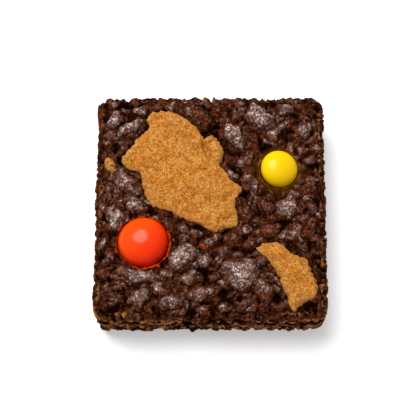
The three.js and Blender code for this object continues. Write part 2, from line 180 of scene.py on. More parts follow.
def build_cookie(name, cookie):
    # The broken edge: grains stand out along the outline, with notches between them
    rim = closed_curve(cookie["outline"], cookie["around"])[::-1]
    middle = np.array(cookie["middle"])
    on_rim = np.c_[rim, np.zeros(len(rim))]
    bump, _ = cells(on_rim + 7, 1.3)
    ragged = 0.1 + 0.8 * (0.25 - bump**2) + cookie["crumbled"] * soft_noise(on_rim, 1.8, 4)
    outward = rim - middle
    rim = rim + outward / np.hypot(*outward.T)[:, None] * ragged[:, None]

    # The top: rings from the middle out, a slight crown, lumps, grains and an edge that turns down
    sizes = np.sin(np.linspace(SMALLEST_RING, 1, cookie["rings"]) * math.pi / 2)
    flat = (middle + sizes[:, None, None] * (rim - middle)).reshape(-1, 2)
    x, y = flat.T
    top = cookie["level"] + cookie["lean"][0] * (x - middle[0]) + cookie["lean"][1] * (y - middle[1])
    top += cookie["crown"] * (1 - np.repeat(sizes, len(rim)) ** 2)
    sunk = np.zeros(len(x))
    for lump in cookie["lumps"]:
        swell = lump[5] * np.maximum(0, 1 - distance_in(lump, x, y)) ** 2
        top += swell
        sunk += np.minimum(swell, 0)
    turned = 1 - np.clip(np.maximum(distance_inside(flat, rim), 0) / COOKIE_ROUND, 0, 1)
    grains = grainy(np.c_[flat, top])
    uneven = 0.3 * soft_noise(np.c_[flat, top], 3.0)
    top += grains + uneven - COOKIE_ROUND * COOKIE_FALL * (1 - np.sqrt(1 - turned**2))

    # The upright edge and the bowl below it, which lie in the batter
    below_sizes = np.cos(np.linspace(0, 0.96, BOWL_RINGS) * math.pi / 2)
    below = (middle + below_sizes[:, None, None] * (rim - middle)).reshape(-1, 2)
    bowl = (cookie["depth"] - COOKIE_EDGE) * np.sqrt(1 - below_sizes**2)
    under = np.repeat(cookie["level"] - COOKIE_EDGE - bowl, len(rim))
    vertices = np.r_[np.c_[flat, top], np.c_[below, under]]
    rings = len(sizes) + len(below_sizes)
    faces = ring_faces(rings, len(rim))
    faces.append(list(range(len(rim))))
    faces.append(list(range((rings - 1) * len(rim), rings * len(rim)))[::-1])
    zero = np.zeros(len(below))
    return mesh_object(name + "_baked", vertices, faces, {
        "edge": np.r_[turned, zero + 1],
        "grain": np.r_[grains + 0.05 * sunk, zero],
    })


class Shader:
    """A material's nodes: each call adds one node, with its sockets set or linked by name."""

    def __init__(self, name, **constants):
        self.material = bpy.data.materials.new(name)
        self.material.use_nodes = True
        self.nodes = self.material.node_tree.nodes
        self.links = self.material.node_tree.links
        self.surface = self.nodes["Principled BSDF"]
        for socket, value in constants.items():
            self.surface.inputs[socket.replace("_", " ")].default_value = value
        self.place = self.add("ShaderNodeTexCoord").outputs["Object"]

    def add(self, kind, sockets=(), **settings):
        node = self.nodes.new(kind)
        for key, value in settings.items():
            setattr(node, key, value)
        for socket, value in dict(sockets).items():
            if isinstance(value, bpy.types.NodeSocket):
                self.links.new(value, node.inputs[socket])
            else:
                node.inputs[socket].default_value = value
        return node

    def attribute(self, label):
        return self.add("ShaderNodeAttribute", attribute_name=label).outputs["Fac"]

    def noise(self, size_mm, detail=3.0, roughness=0.6, warp=0.0, place=None):
        sockets = {"Vector": place or self.place, "Scale": 1 / (size_mm * MM), "Detail": detail,
                   "Roughness": roughness, "Distortion": warp}
        return self.add("ShaderNodeTexNoise", sockets).outputs["Fac"]

    def warped(self, size_mm, by_mm):
        """Places pushed about by noise."""
        sockets = {"Vector": self.place, "Scale": 1 / (size_mm * MM), "Detail": 2.0}
        push = self.add("ShaderNodeTexNoise", sockets).outputs["Color"]
        sockets = {0: push, 1: (by_mm * MM,) * 3, 2: self.place}
        return self.add("ShaderNodeVectorMath", sockets, operation="MULTIPLY_ADD").outputs[0]

    def stretched(self, *scale):
        return self.add("ShaderNodeMapping", {"Vector": self.place, "Scale": scale}).outputs[0]

    def cell(self, size_mm, feature="F1", place=None):
        sockets = {"Vector": place or self.place, "Scale": 1 / (size_mm * MM)}
        return self.add("ShaderNodeTexVoronoi", sockets, feature=feature).outputs["Distance"]

    def span(self, value, low, high, to_low=0.0, to_high=1.0):
        """A soft change from to_low to to_high, while the value goes from low to high."""
        sockets = {"Value": value, "From Min": low, "From Max": high, "To Min": to_low,
                   "To Max": to_high}
        return self.add("ShaderNodeMapRange", sockets, interpolation_type="SMOOTHSTEP").outputs["Result"]

    def math(self, operation, first, second=0.0):
        return self.add("ShaderNodeMath", {0: first, 1: second}, operation=operation).outputs[0]

    def mix(self, share, first, second):
        made = self.add("ShaderNodeMix", data_type="RGBA")
        for index, value in ((0, share), (6, first), (7, second)):
            if isinstance(value, bpy.types.NodeSocket):
                self.links.new(value, made.inputs[index])
            else:
                made.inputs[index].default_value = value if index == 0 else (*value, 1.0)
        return made.outputs[2]

    def tint(self, colour, tone, share, most=1.0):
        """The colour turned toward a tone, by a share of what the tone does at most."""
        return self.mix(self.math("MULTIPLY", share, most) if most < 1 else share, colour, tone)

    def bump(self, height, depth_mm, strength=1.0, normal=None):
        sockets = {"Height": height, "Distance": depth_mm * MM, "Strength": strength}
        if normal is not None:
            sockets["Normal"] = normal
        return self.add("ShaderNodeBump", sockets).outputs["Normal"]

    def finish(self, **sockets):
        for socket, value in sockets.items():
            self.links.new(value, self.surface.inputs[socket.replace("_", " ")])
        return self.material


GOLDEN, PALE_GOLDEN = (0.52, 0.178, 0.016), (0.64, 0.295, 0.066)
SHADE_BETWEEN_GRAINS = (0.32, 0.092, 0.006)
TOASTED, FLOURY = (0.27, 0.070, 0.003), (0.80, 0.47, 0.150)
COOKIE_PINHOLE_SHADE = (0.12, 0.034, 0.004)
RUBBED_EDGE, UNDERSIDE_SHADE = (0.50, 0.245, 0.060), (0.24, 0.075, 0.010)


def cookie_material():
    look = Shader("sandy_cookie", Specular_IOR_Level=0.04)
    grain, edge = look.attribute("grain"), look.attribute("edge")
    speckle = look.noise(0.42, 2, 0.8)
    dark = look.span(speckle, 0.50, 0.62)
    colour = look.mix(look.span(look.noise(3.6, 3), 0.36, 0.66), GOLDEN, PALE_GOLDEN)
    # Painted shade: darker between the grains, in the pinholes and in the crease by the knob
    colour = look.tint(colour, SHADE_BETWEEN_GRAINS, look.span(grain, 0.10, -0.14), 0.75)
    colour = look.tint(colour, TOASTED, dark, 0.7)
    colour = look.tint(colour, FLOURY, look.span(speckle, 0.46, 0.34), 0.6)
    # Painted shade: dark dots for pinholes
    colour = look.tint(colour, COOKIE_PINHOLE_SHADE, look.span(look.cell(0.9), 0.24, 0.14), 0.8)
    colour = look.tint(colour, RUBBED_EDGE, look.span(edge, 0.05, 0.5), 0.35)
    # Painted shade: the upright edge and the bowl below it, in the gap by the batter, are darker
    colour = look.tint(colour, UNDERSIDE_SHADE, look.span(edge, 0.8, 1.0), 0.6)
    rough = look.span(dark, 0, 1, 0.75, 0.92)
    relief = look.bump(look.noise(0.36, 3, 0.7), 0.11, 0.9)
    return look.finish(Base_Color=colour, Roughness=rough, Normal=relief)


sandy = cookie_material()
cookie_rims = {}
for name, cookie in COOKIES.items():
    piece = build_cookie(name, cookie)
    piece.data.materials.append(sandy)
    cookie_rims[name] = closed_curve(cookie["outline"], len(cookie["outline"]) * 4)
    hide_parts(name)
    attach(piece, "root")


# The sweets. Each is a flattened ball of chocolate in a hard, polished sugar shell, pressed into the
# batter on its flat side. The orange one is full size and the yellow one is small, and both lie a
# little askew. The crust drew away from one side of the orange one as it baked.

SWEET_SIDES, SWEET_STEPS = 128, 72
LIT_SIDE_WAY = np.array((-0.72, 0.62, 0.3))  # the way that the side painted paler faces, as painted light from the lamp

# Half is half a sweet's thickness, lean is its tilt about x and y in degrees, and drawn is 1 where
# the crust drew away from it.
SWEETS = {
    "candy_orange": {
        "place": (-18.4, -10.5, CRUST_LEVEL + 0.4), "radius": 6.8, "half": 4.5, "lean": (2, -8),
        "colour": (0.90, 0.022, 0.0002), "pale": (0.86, 0.068, 0.0003), "slot": "candy_orange",
        "drawn": 1,
    },
    "candy_yellow": {
        "place": (19.0, 10.7, CRUST_LEVEL + 0.6), "radius": 5.2, "half": 3.6, "lean": (2, 16),
        "colour": (0.93, 0.545, 0.0002), "pale": (0.88, 0.600, 0.0004), "slot": "candy_yellow",
        "drawn": 0,
    },
}


def build_sweet(name, sweet):
    latitude = np.linspace(-1, 1, SWEET_STEPS + 1)[1:-1] * math.pi / 2
    angle = np.arange(SWEET_SIDES) * 2 * math.pi / SWEET_SIDES
    ring = np.stack([np.cos(angle), np.sin(angle)], 1)
    flat = np.cos(latitude)[:, None, None] * ring * sweet["radius"]
    height = np.repeat(np.sin(latitude) * sweet["half"], SWEET_SIDES)
    points = np.c_[flat.reshape(-1, 2), height]
    poles = np.array([(0, 0, -sweet["half"]), (0, 0, sweet["half"])])
    points = np.r_[points, poles]
    uneven = 1 + 0.006 * soft_noise(points + len(name), 5.0, 2)
    points = points * uneven[:, None]
    about_x, about_y = (math.radians(turn) for turn in sweet["lean"])
    turn_x = np.array([(1, 0, 0), (0, math.cos(about_x), -math.sin(about_x)),
                       (0, math.sin(about_x), math.cos(about_x))])
    turn_y = np.array([(math.cos(about_y), 0, math.sin(about_y)), (0, 1, 0),
                       (-math.sin(about_y), 0, math.cos(about_y))])
    points = points @ turn_x.T @ turn_y.T
    # Painted light: the side of the shell toward the lamp is painted paler
    pale = smooth_step(-0.9, 0.9, points @ LIT_SIDE_WAY / sweet["radius"])
    rows = len(latitude)
    faces = [face[::-1] for face in ring_faces(rows, SWEET_SIDES)]
    last_ring = (rows - 1) * SWEET_SIDES
    low, high = rows * SWEET_SIDES, rows * SWEET_SIDES + 1
    for n in range(SWEET_SIDES):
        after = (n + 1) % SWEET_SIDES
        faces.append([low, after, n])
        faces.append([high, last_ring + n, last_ring + after])
    return mesh_object(name + "_shell", points + sweet["place"], faces, {"pale": pale})


def sweet_material(name, sweet):
    look = Shader(name + "_sugar", Specular_IOR_Level=0.0, Coat_Weight=0.10, Coat_Roughness=0.18,
                  Coat_IOR=2.4)
    cloudy = look.span(look.noise(3.0, 2), 0.3, 0.7, -0.12, 0.12)
    # Painted light: paler toward the lamp's side, with a little cloudy tone over it
    share = look.math("ADD", look.attribute("pale"), cloudy)
    colour = look.mix(share, sweet["colour"], sweet["pale"])
    pores = look.span(look.cell(0.7), 0.16, 0.05)
    relief = look.bump(pores, -0.02, 0.5)
    relief = look.bump(look.noise(0.5, 2), 0.008, 0.5, relief)
    rough = look.span(look.noise(1.0, 2), 0.3, 0.7, 0.30, 0.38)
    return look.finish(Base_Color=colour, Roughness=rough, Normal=relief, Coat_Normal=relief)


for name, sweet in SWEETS.items():
    piece = build_sweet(name, sweet)
    piece.data.materials.append(sweet_material(name, sweet))
    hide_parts(name)
    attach(piece, "root")


# The brownie itself. Dark batter was baked in a tray with the pieces pressed into it, and cut
# square. Its top dried to a thin, shiny crust of pillows with creases between them, and its cut
# sides are soft crumb, torn into crumbs and hollows by the knife, which bulges past the crust.

CRUST_SIDE = 60.6
BACK = 1.5  # mm, how much further out the back cut lies than the front one
CORNER_RADIUS = 2.6
CREASE_DEPTH, CREASE_CUT, SINK_DEPTH = 1.3, 0.35, 0.9
LUMP_RISE, WRINKLE_RISE, PIT_DEPTH = 0.32, 0.14, 0.30
CREVICE_WIDTH, CREVICE_DEPTH = 0.34, 1.0
EDGE_DROP, EDGE_WIDTH = 0.9, 2.2
RIM_WIDTH = 0.05  # mm, the strip of bare crumb between the crust and the cut
GLINT = 0.35  # the shine of the small lumps, for their gloss and their painted highlight

# The large pillows: x, y, length, width, turn in degrees, rise and shine, which sets their gloss
# and where sheen and highlights are painted on them
PILLOWS = [
    # back left corner
    (-26.9, 25.4, 4.4, 3.3, 100, 1.3, 1.3),
    (-22.3, 23.1, 9.2, 2.8, 43, 1.4, 1.2),
    (-19.7, 29.0, 4.4, 3.2, 10, 0.8, 0.8),
    (-24.2, 28.2, 2.9, 2.4, 60, 0.7, 0.7),
    (-27.6, 20.8, 3.6, 3.0, 80, 0.8, 0.8),
    (-27.9, 16.4, 3.6, 2.6, 90, 0.6, 0.1),
    # back
    (-4.6, 26.4, 9.4, 6.0, -30, 1.3, 0.25),
    (2.4, 27.6, 4.4, 3.2, 50, 0.9, 0.2),
    (7.0, 21.0, 7.4, 5.2, -60, 1.4, 1.1),
    (13.6, 26.0, 9.6, 5.8, -35, 1.5, 1.1),
    # back right corner
    (20.4, 28.2, 5.2, 3.8, -20, 1.1, 0.6),
    (18.5, 22.2, 6.0, 3.8, 30, 1.1, 0.8),
    (26.3, 22.6, 5.4, 3.6, 75, 1.2, 0.9),
    (27.0, 28.6, 4.2, 3.0, -30, 0.9, 0.1),
    (24.6, 17.2, 4.4, 3.4, -30, 0.7, 0.3),
    (9.6, 13.4, 4.6, 3.8, 30, 1.0, 0.5),
    (10.6, 7.6, 4.6, 3.2, -30, 0.8, 0.7),
    # left
    (-23.6, 6.6, 9.8, 5.2, -35, 1.6, 0.7),
    (-20.6, 0.8, 6.8, 4.6, -30, 1.3, 0.75),
    (-26.3, -3.6, 8.2, 4.4, -75, 1.5, 0.9),
    (-28.0, 3.8, 8.6, 2.2, -66, 0.9, 0.3),
    # right
    (15.3, 0.3, 4.8, 4.4, 60, 1.2, 0.3),
    (21.1, -0.9, 6.6, 5.8, 40, 1.5, 0.9),
    (25.9, 4.8, 4.2, 3.6, 20, 0.9, 0.1),
    (27.0, -5.8, 6.4, 4.4, 60, 1.1, 0.15),
    (22.1, -8.8, 7.8, 3.0, -8, 1.2, 0.7),
    (16.4, -7.0, 5.4, 4.0, 20, 1.1, 0.25),
    (9.3, -1.3, 7.8, 3.8, -80, 1.2, 0.3),
    # middle, below the large cookie
    (-6.9, -7.1, 5.4, 2.4, -38, 1.1, 0.5),
    (0.8, -10.0, 6.4, 3.2, 25, 1.1, 0.4),
    (6.4, -9.6, 5.2, 3.0, 10, 0.9, 0.3),
    (-11.8, -4.8, 5.0, 2.8, -35, 0.9, 0.3),
    (11.2, -11.0, 4.0, 3.2, 30, 0.8, 0.3),
    # front left
    (-19.2, -20.0, 12.6, 3.8, -10, 1.4, 0.8),
    (-27.5, -14.2, 5.2, 3.0, -70, 1.0, 0.3),
    (-25.0, -23.4, 6.4, 3.4, 15, 1.1, 0.3),
    (-19.4, -25.8, 6.2, 4.4, -5, 1.3, 0.9),
    (-14.6, -23.8, 5.2, 4.0, -40, 1.1, 0.6),
    (-27.4, -19.0, 3.2, 2.6, 80, 0.7, 0.2),
    # front
    (-7.8, -14.8, 8.8, 6.8, 35, 1.6, 0.9),
    (-1.9, -15.0, 4.8, 3.4, 55, 1.2, 0.8),
    (-5.3, -20.8, 7.6, 3.8, 22, 1.1, 0.5),
    (-10.4, -26.8, 7.2, 4.2, -5, 1.2, 0.6),
    (-3.0, -24.8, 8.4, 3.6, 28, 1.2, 0.6),
    (1.4, -20.2, 4.2, 3.0, -20, 0.8, 0.3),
    # front right
    (8.3, -19.4, 10.4, 9.0, -20, 1.9, 0.9),
    (13.8, -24.0, 6.6, 5.4, -45, 1.5, 0.5),
    (9.6, -27.4, 4.8, 3.2, 20, 0.9, 0.4),
    (13.4, -16.6, 4.0, 3.4, 40, 1.2, 0.5),
]

# The small ones are drawn at random within these limits, where the large ones leave room
SMALL_PILLOW = {"length": (2.8, 5.0), "width": (2.0, 3.4), "rise": (0.05, 0.75)}
SMALL_PILLOW_SPACING, SMALL_PILLOW_TRIES, CRUST_SEED = 2.3, 1400, 4711
SMALL_SHINE = 0.6  # the most that a small pillow shines
SPREAD = (1.15, 1.2)  # how much longer and wider the large pillows are than those of the solid
SMALL_SPREAD, SMALL_RISE = (1.25, 1.2), 0.6  # the same for the small ones, and for their rise
RANDOM_FACTOR, RANDOM_MODULUS = 16807, 2147483647


def random_from(seed):
    """Random numbers by the solid's own rule, so that the small pillows and crumbs lie as in it."""
    state = seed

    def draw(low, high):
        nonlocal state
        state = state * RANDOM_FACTOR % RANDOM_MODULUS
        return low + (high - low) * state / RANDOM_MODULUS
    return draw


def small_pillows():
    """Low pillows between the large ones. The higher one rises, the more it shines."""
    draw = random_from(CRUST_SEED)
    half = CRUST_SIDE / 2
    kept = []
    for _ in range(SMALL_PILLOW_TRIES):
        x, y = draw(-half, half), draw(-half, half + BACK)
        length, width = draw(*SMALL_PILLOW["length"]), draw(*SMALL_PILLOW["width"])
        turn, rise = draw(-90, 90), draw(*SMALL_PILLOW["rise"])
        if any(distance_in(one, x, y) < 1 for one in PILLOWS):
            continue
        if any(math.hypot(one[0] - x, one[1] - y) < SMALL_PILLOW_SPACING for one in kept):
            continue
        size = (SMALL_SPREAD[0] * length, SMALL_SPREAD[1] * width)
        shine = SMALL_SHINE * rise / SMALL_PILLOW["rise"][1]
        kept.append((x, y, *size, turn, SMALL_RISE * rise, shine))
    return kept


pillows = [
    (x, y, SPREAD[0] * length, SPREAD[1] * width, *rest) for x, y, length, width, *rest in PILLOWS
]
pillows += small_pillows()


def highest_dome(domes, x, y, flatness=1.0):
    """At each place the highest dome's height, its lead over the next one, its rise and its shine."""
    height, second = np.full(np.shape(x), -np.inf), np.full(np.shape(x), -np.inf)
    rise, shine = np.zeros(np.shape(x)), np.zeros(np.shape(x))
    for dome in domes:
        q = distance_in(dome, x, y)
        here = dome[5] * (1 - q**flatness)
        higher = (here > height) & (q < 1)
        second = np.maximum(np.minimum(here, height), second)
        height = np.maximum(here, height)
        rise[higher] = dome[5]
        if len(dome) > 6:
            shine[higher] = dome[6] * (1 - q[higher]) ** 0.8
    return height, height - second, rise, shine


def flowed(x, y):
    """The batter flowed while it baked, so no pillow is a true ellipse."""
    return (
        x + 0.5 * np.sin(0.61 * y + 0.9) + 0.28 * np.sin(1.37 * y - 0.53 * x + 2.1),
        y + 0.5 * np.sin(0.67 * x + 2.4) + 0.28 * np.sin(1.29 * x + 0.47 * y + 0.4),
    )


def crumbly(points):
    """Torn crumb: how far its grains stand out, in mm, and how much shade is painted in the gaps between
    them.
    """
    near, far = cells(points * (1, 1, 1.25) + 71, 1.5)
    fine, _ = cells(points + 83, 0.75)
    grains = 0.60 * (0.28 - near**2) + 0.45 * (0.28 - fine**2) + 0.50 * soft_noise(points + 53, 1.1, 4)
    return grains, smooth_step(0.26, 0.03, far - near)


def crust(x, y):
    """The crust without its pockets: its height, its shine, its painted shade in creases and low places,
    and its rim.
    """
    points = np.c_[x, y, np.zeros(len(x))]

    # Pillows with creases between them. The bold ones stand highest, with the deepest creases
    drift_x, drift_y = flowed(x, y)
    drift_x = drift_x + 0.6 * soft_noise(points + 11, 2.2)
    drift_y = drift_y + 0.6 * soft_noise(points + 23, 2.2)
    dome, lead, rise, shine = highest_dome(pillows, drift_x, drift_y, 1.3)
    bold = smooth_step(0.6, 1.1, rise)
    deep = np.maximum(0.9 * bold, smooth_step(-0.2, 0.3, soft_noise(points + 29, 5.0, 2)))
    crease = smooth_step(0.34, 0.0, lead) * deep
    sinks = SINK_DEPTH * smooth_step(0.25, 0.6, soft_noise(points + 77, 3.0, 2)) * (1 - bold)
    valley = np.maximum(-CREASE_DEPTH, dome) * (0.4 + 0.6 * deep)
    relief = np.where(dome < 0, valley, dome * (1 + 0.35 * bold)) - CREASE_CUT * crease - sinks

    # Over them lie lumps, of which some glint, fine wrinkles and the pits of burst bubbles
    near, _ = cells(points + 5, 2.2)
    lumps = 0.10 * (0.28 - near**2) + LUMP_RISE * soft_noise(points + 3, 2.6, 2)
    lumps *= 1 - 0.4 * bold
    glint = smooth_step(0.36, 0.10, near) * smooth_step(0.1, 0.4, soft_noise(points + 19, 4.0))
    shine = np.maximum(shine, GLINT * glint)
    near, _ = cells(points + 31, 1.0)
    wrinkles = 0.09 * (0.28 - near**2) + WRINKLE_RISE * soft_noise(points + 41, 1.1, 2)
    hole, _ = cells(points + 61, 1.6)
    pits = -PIT_DEPTH * smooth_step(0.17, 0.08, hole)

    # The crust ends short of the cut, in places at a crevice, and bare crumb shows outside it
    half = CRUST_SIDE / 2
    edge = np.minimum(half - abs(x), np.minimum(half + y, half + BACK - y))
    past = edge - RIM_WIDTH - 1.2 * soft_noise(points + 47, 3.0)
    crevice = np.exp(-((past / CREVICE_WIDTH) ** 2))
    crevice *= smooth_step(-0.15, 0.3, soft_noise(points + 67, 4.5, 2))
    rim = smooth_step(0.25, -0.3, past)
    crumb, gaps = crumbly(np.c_[x, y, np.full(len(x), CRUST_LEVEL)])
    sunk = np.clip(1 - edge / EDGE_WIDTH, 0, 1)

    on_crust = relief + lumps + wrinkles + pits
    height = CRUST_LEVEL + on_crust * (1 - rim) + (0.5 * relief + crumb) * rim
    height -= CREVICE_DEPTH * crevice + EDGE_DROP * sunk**2
    # Painted shade: the creases, low places, pits and crevice, and the gaps in the bare crumb at the rim
    dark = smooth_step(0.35, -0.55, relief + 1.6 * lumps + 1.8 * wrinkles + 1.6 * pits)
    dark = np.maximum(dark, 0.9 * crease)
    dark_rim = np.maximum(smooth_step(0.05, -0.4, crumb), 0.75 * gaps)
    cavity_shade = np.maximum(dark * (1 - rim) + dark_rim * rim, crevice)
    return height, shine * (1 - rim), cavity_shade, rim


# Pockets in the crust. Each is its piece's own form, a hair wider, and the batter rose in a low lip
# around it. Where the crust drew away from the orange sweet the gap is wider, and dye from both
# sweets ran into the crust beside them.

POCKET_GAP, POCKET_DEPTH = 0.12, 2.6
WIDEST_GAP = 0.2  # mm more, where the crust drew away
DRAWN_SIDE = (0.75, -0.66)  # the way that it drew away, and that most of the dye ran


def cut_pockets(x, y, height):
    """The crust with its pockets, and where dye from each sweet stains it."""
    points = np.c_[x, y]
    ragged = soft_noise(np.c_[points, np.full(len(x), 4.0)], 1.1)
    torn = soft_noise(np.c_[points, np.full(len(x), 9.0)], 0.6, 4)
    for rim in cookie_rims.values():
        inside = distance_inside(points, rim) + POCKET_GAP + 0.25 * ragged
        lip = 0.35 * np.exp(-((inside + 0.9) / 0.7) ** 2)
        height = np.where(inside > 0, CRUST_LEVEL - POCKET_DEPTH, height + lip)
    stains = {}
    for name, sweet in SWEETS.items():
        middle_x, middle_y, middle_z = sweet["place"]
        away_x, away_y = x - middle_x, y - middle_y
        out = np.hypot(away_x, away_y)
        toward = (away_x * DRAWN_SIDE[0] + away_y * DRAWN_SIDE[1]) / np.maximum(out, 0.1)
        drawn = sweet["drawn"] * smooth_step(0.1, 0.9, toward)
        reach = sweet["radius"] + POCKET_GAP + WIDEST_GAP * drawn + 0.35 * torn * (0.4 + drawn)
        past = out - reach
        lip = (0.35 + 0.45 * drawn) * np.exp(-((past - 0.4) / 0.45) ** 2)
        share = np.clip(out / reach, 0, 1)
        socket = middle_z - (sweet["half"] + POCKET_GAP) * np.sqrt(1 - share**2) - 0.6
        height = np.where(past < 0, np.minimum(height, socket), height + lip)
        if sweet["drawn"]:
            dyed = smooth_step(0.55, 0.25, past - 0.2 * drawn + 0.8 * torn + 0.6 * ragged)
            stains[name] = dyed * (0.45 + 0.55 * drawn)
        else:
            stains[name] = np.exp(-np.maximum(past, 0) / 0.8)
    return height, stains


# The cut sides. The knife tore the soft crumb, so crumbs lie along the cut, a row of larger ones
# stood on the tray, and two uneven rows of hollows lie open. Places are the distance round the
# square and the height.

ROUND = 4 * CRUST_SIDE
CRUMB_BULGE, BULGE_BELOW = 1.1, 0.7  # past the crust's edge, and how far below it
FOOT_BULGE, FOOT_START = -0.6, 7.0  # at the base, and the height where it starts to draw in
TORN_BACK = 0.35  # the depth between crumbs
CRUMB = {"length": (2.6, 6.0), "height": (1.6, 2.8), "rise": (0.1, 0.85)}
CRUMB_APART, CRUMB_FLAT, CRUMB_TRIES = 1.5, 1.6, 2000
FOOT = {"length": (2.4, 4.2), "height": (2.0, 3.2), "rise": (0.5, 0.95), "pitch": 4.2}
HOLLOW = {"length": (3.2, 6.0), "height": (1.3, 2.5), "depth": (0.7, 1.5), "pitch": 4.6}
HOLLOW_LEVELS, HOLLOW_SWAY = (4.2, 11.2), 1.1
HOLLOW_CUT, PORE_DEPTH = 1.9, 0.9
TOOTH = 0.9  # how far whole crumbs stand out along the cut
PRESSED, SPRANG_BACK = 1.4, 0.4  # how far out the knife pressed, and how much crumbs sprang back
LEDGE = 0.95  # mm, how far below a hollow its shade reaches
FOOT_SHADE_BELOW = (8.0, 6.8)  # mm, the heights between which the foot turns to painted shade
CRUMB_SEED = 90210


def has_room(made, along, height):
    """Whether a new crumb's place lies clear of the crumbs made before it."""
    return all(
        math.hypot((one[0] - along) / CRUMB_FLAT, one[1] - height) >= CRUMB_APART for one in made
    )


def make_crumbs(draw):
    """Domes for the crumbs: the row at the foot first, then those above wherever there is room."""
    made = []
    for n in range(math.ceil(ROUND / FOOT["pitch"])):
        along = n * FOOT["pitch"] + draw(0, FOOT["pitch"] / 2)
        length = draw(*FOOT["length"])
        height = draw(0.5, 1.3)
        made.append((along, height, length, draw(*FOOT["height"]), 0, draw(*FOOT["rise"])))
    for _ in range(CRUMB_TRIES):
        along, height = draw(0, ROUND), draw(1.5, CRUST_LEVEL)
        length, thickness = draw(*CRUMB["length"]), draw(*CRUMB["height"])
        turn, rise = draw(-14, 14), draw(*CRUMB["rise"])
        if has_room(made, along, height):
            made.append((along, height, length, thickness, turn, rise))
    return made


def make_hollows(draw):
    """Domes for the hollows, whose rise is how deep they are."""
    made = []
    for level in HOLLOW_LEVELS:
        for n in range(math.ceil(ROUND / HOLLOW["pitch"])):
            along = n * HOLLOW["pitch"] + draw(0, HOLLOW["pitch"] * 0.6)
            height = level + draw(-HOLLOW_SWAY, HOLLOW_SWAY)
            length, thickness = draw(*HOLLOW["length"]), draw(*HOLLOW["height"])
            turn = draw(-10, 10)
            made.append((along, height, length, thickness, turn, draw(*HOLLOW["depth"])))
    return made


side_draw = random_from(CRUMB_SEED)
crumbs = make_crumbs(side_draw)
hollows = make_hollows(side_draw)


def teeth(along):
    """Whole crumbs stand out along the cut, with notches between them."""
    turn = 2 * math.pi * along / ROUND
    wave = np.sin(33 * turn + 0.9 * np.sin(5 * turn) + 0.8 * np.sin(13 * turn + 2))
    return np.sqrt(wave**2 + 0.03) - 0.66


def side_reach(along, height, crust_level, points):
    """How far the side stands past the crust's edge, its painted shade, and where light is painted on
    it.
    """
    # Crumbs stand out between torn hollows and pores, and some of the hollows stayed closed
    sway, lift = 1.1 * soft_noise(points + 17, 2.0), 0.8 * soft_noise(points + 37, 2.0)
    place = (along + sway, height + lift)
    crumb = np.maximum(-TORN_BACK, highest_dome(crumbs, *place)[0])
    pore, _ = cells(points + 97, 2.7)
    opened = smooth_step(-0.42, -0.08, soft_noise(points * (1, 1, 0.6) + 131, 6.0, 2))
    hollow = np.sqrt(np.maximum(0, highest_dome(hollows, *place)[0]))
    torn = HOLLOW_CUT * opened * hollow + PORE_DEPTH * smooth_step(0.32, 0.14, pore)

    # Grains lie over all of it, fewer at the foot and inside the hollows
    grains, gaps = crumbly(points)
    firm, below = smooth_step(0.8, 5.0, height), smooth_step(0.3, 3.5, crust_level - height)
    grains *= smooth_step(2.0, 0.3, torn) * (0.5 + 0.5 * firm)

    # The side bulges just below the crust and is drawn in at the foot
    swell = np.sin(np.clip((crust_level - height) / BULGE_BELOW, 0, 1) * math.pi / 2)
    drawn_in = np.maximum(0, 1 - height / FOOT_START) ** 2
    bulge = CRUMB_BULGE - (CRUMB_BULGE - FOOT_BULGE) * drawn_in
    broad = 0.7 * soft_noise(points * (1, 1, 0.5) + 103, 4.5, 2) * (1 - 0.6 * below)
    reach = bulge - 0.15 + 1.2 * crumb - torn + grains + broad
    reach += TOOTH * teeth(along) * firm * (0.3 + 0.7 * below)
    reach = np.where(reach < PRESSED, reach, PRESSED + SPRANG_BACK * (reach - PRESSED)) * swell

    # Painted shade: dark in the gaps and hollows, on the ledges below hollows, and at the foot
    # on the crumbs that stand out there
    dark = smooth_step(0.10, -0.6, 1.1 * crumb - 1.7 * torn + 1.1 * grains)
    shade = highest_dome(hollows, place[0], place[1] + LEDGE)[0]
    dark = np.maximum(dark, opened * smooth_step(-0.25, 0.15, shade))
    moist_gloss_and_foot_shade = smooth_step(0.02, 0.18, teeth(along) + 0.4 * soft_noise(points + 151, 2.4))
    dark = np.maximum(dark, 0.85 * moist_gloss_and_foot_shade * smooth_step(*FOOT_SHADE_BELOW, height))
    dark = np.minimum(np.maximum(dark, 0.45 * gaps), 0.97)
    ridge = smooth_step(0.05, 0.75, crumb - torn + 0.6 * grains)
    ridge *= smooth_step(-1.0, 1.2, crust_level - height)
    return reach, dark, ridge


# Bits that were stirred into the batter: three crumbs of cookie in the crust and the sides, and a
# fleck of orange sugar shell. They are too small for pieces of their own, so they belong to the
# brownie's own mesh, which is a grid over the crust and rows down the four sides. The crumb in the
# crust and the fleck stand out of it; the two crumbs on the sides are only coloured on it.

GRID, SIDE_ROWS = 288, 60
COOKIE_BITS = [  # place, half sizes and turn
    ((-27.9, 12.1, CRUST_LEVEL + 0.2), (1.2, 2.15, 0.9), 26),
    ((-31.3, -28.9, 11.8), (0.9, 1.4, 3.2), 0),
    ((-23.1, -30.5, 15.8), (0.75, 0.6, 0.7), 0),
]
SHELL_FLECK = ((-2.2, -11.7, CRUST_LEVEL + 0.4), (1.1, 0.6, 0.6), -25)


def on_rounded_square(u, v):
    """Places in the square from -1 to 1, on the crust's outline, and the way out from there."""
    size = np.maximum(np.maximum(abs(u), abs(v)), 1e-9)
    half = CRUST_SIDE / 2
    inner = half - CORNER_RADIUS
    edge = np.stack([u, v], -1) / size[..., None] * half
    core = np.clip(edge, -inner, inner)
    out = edge - core
    out = out / np.maximum(np.hypot(out[..., 0], out[..., 1]), 1e-9)[..., None]
    place = (core + out * CORNER_RADIUS) * size[..., None]
    place[..., 1] += BACK * np.maximum(0, place[..., 1] / half)
    return place, out


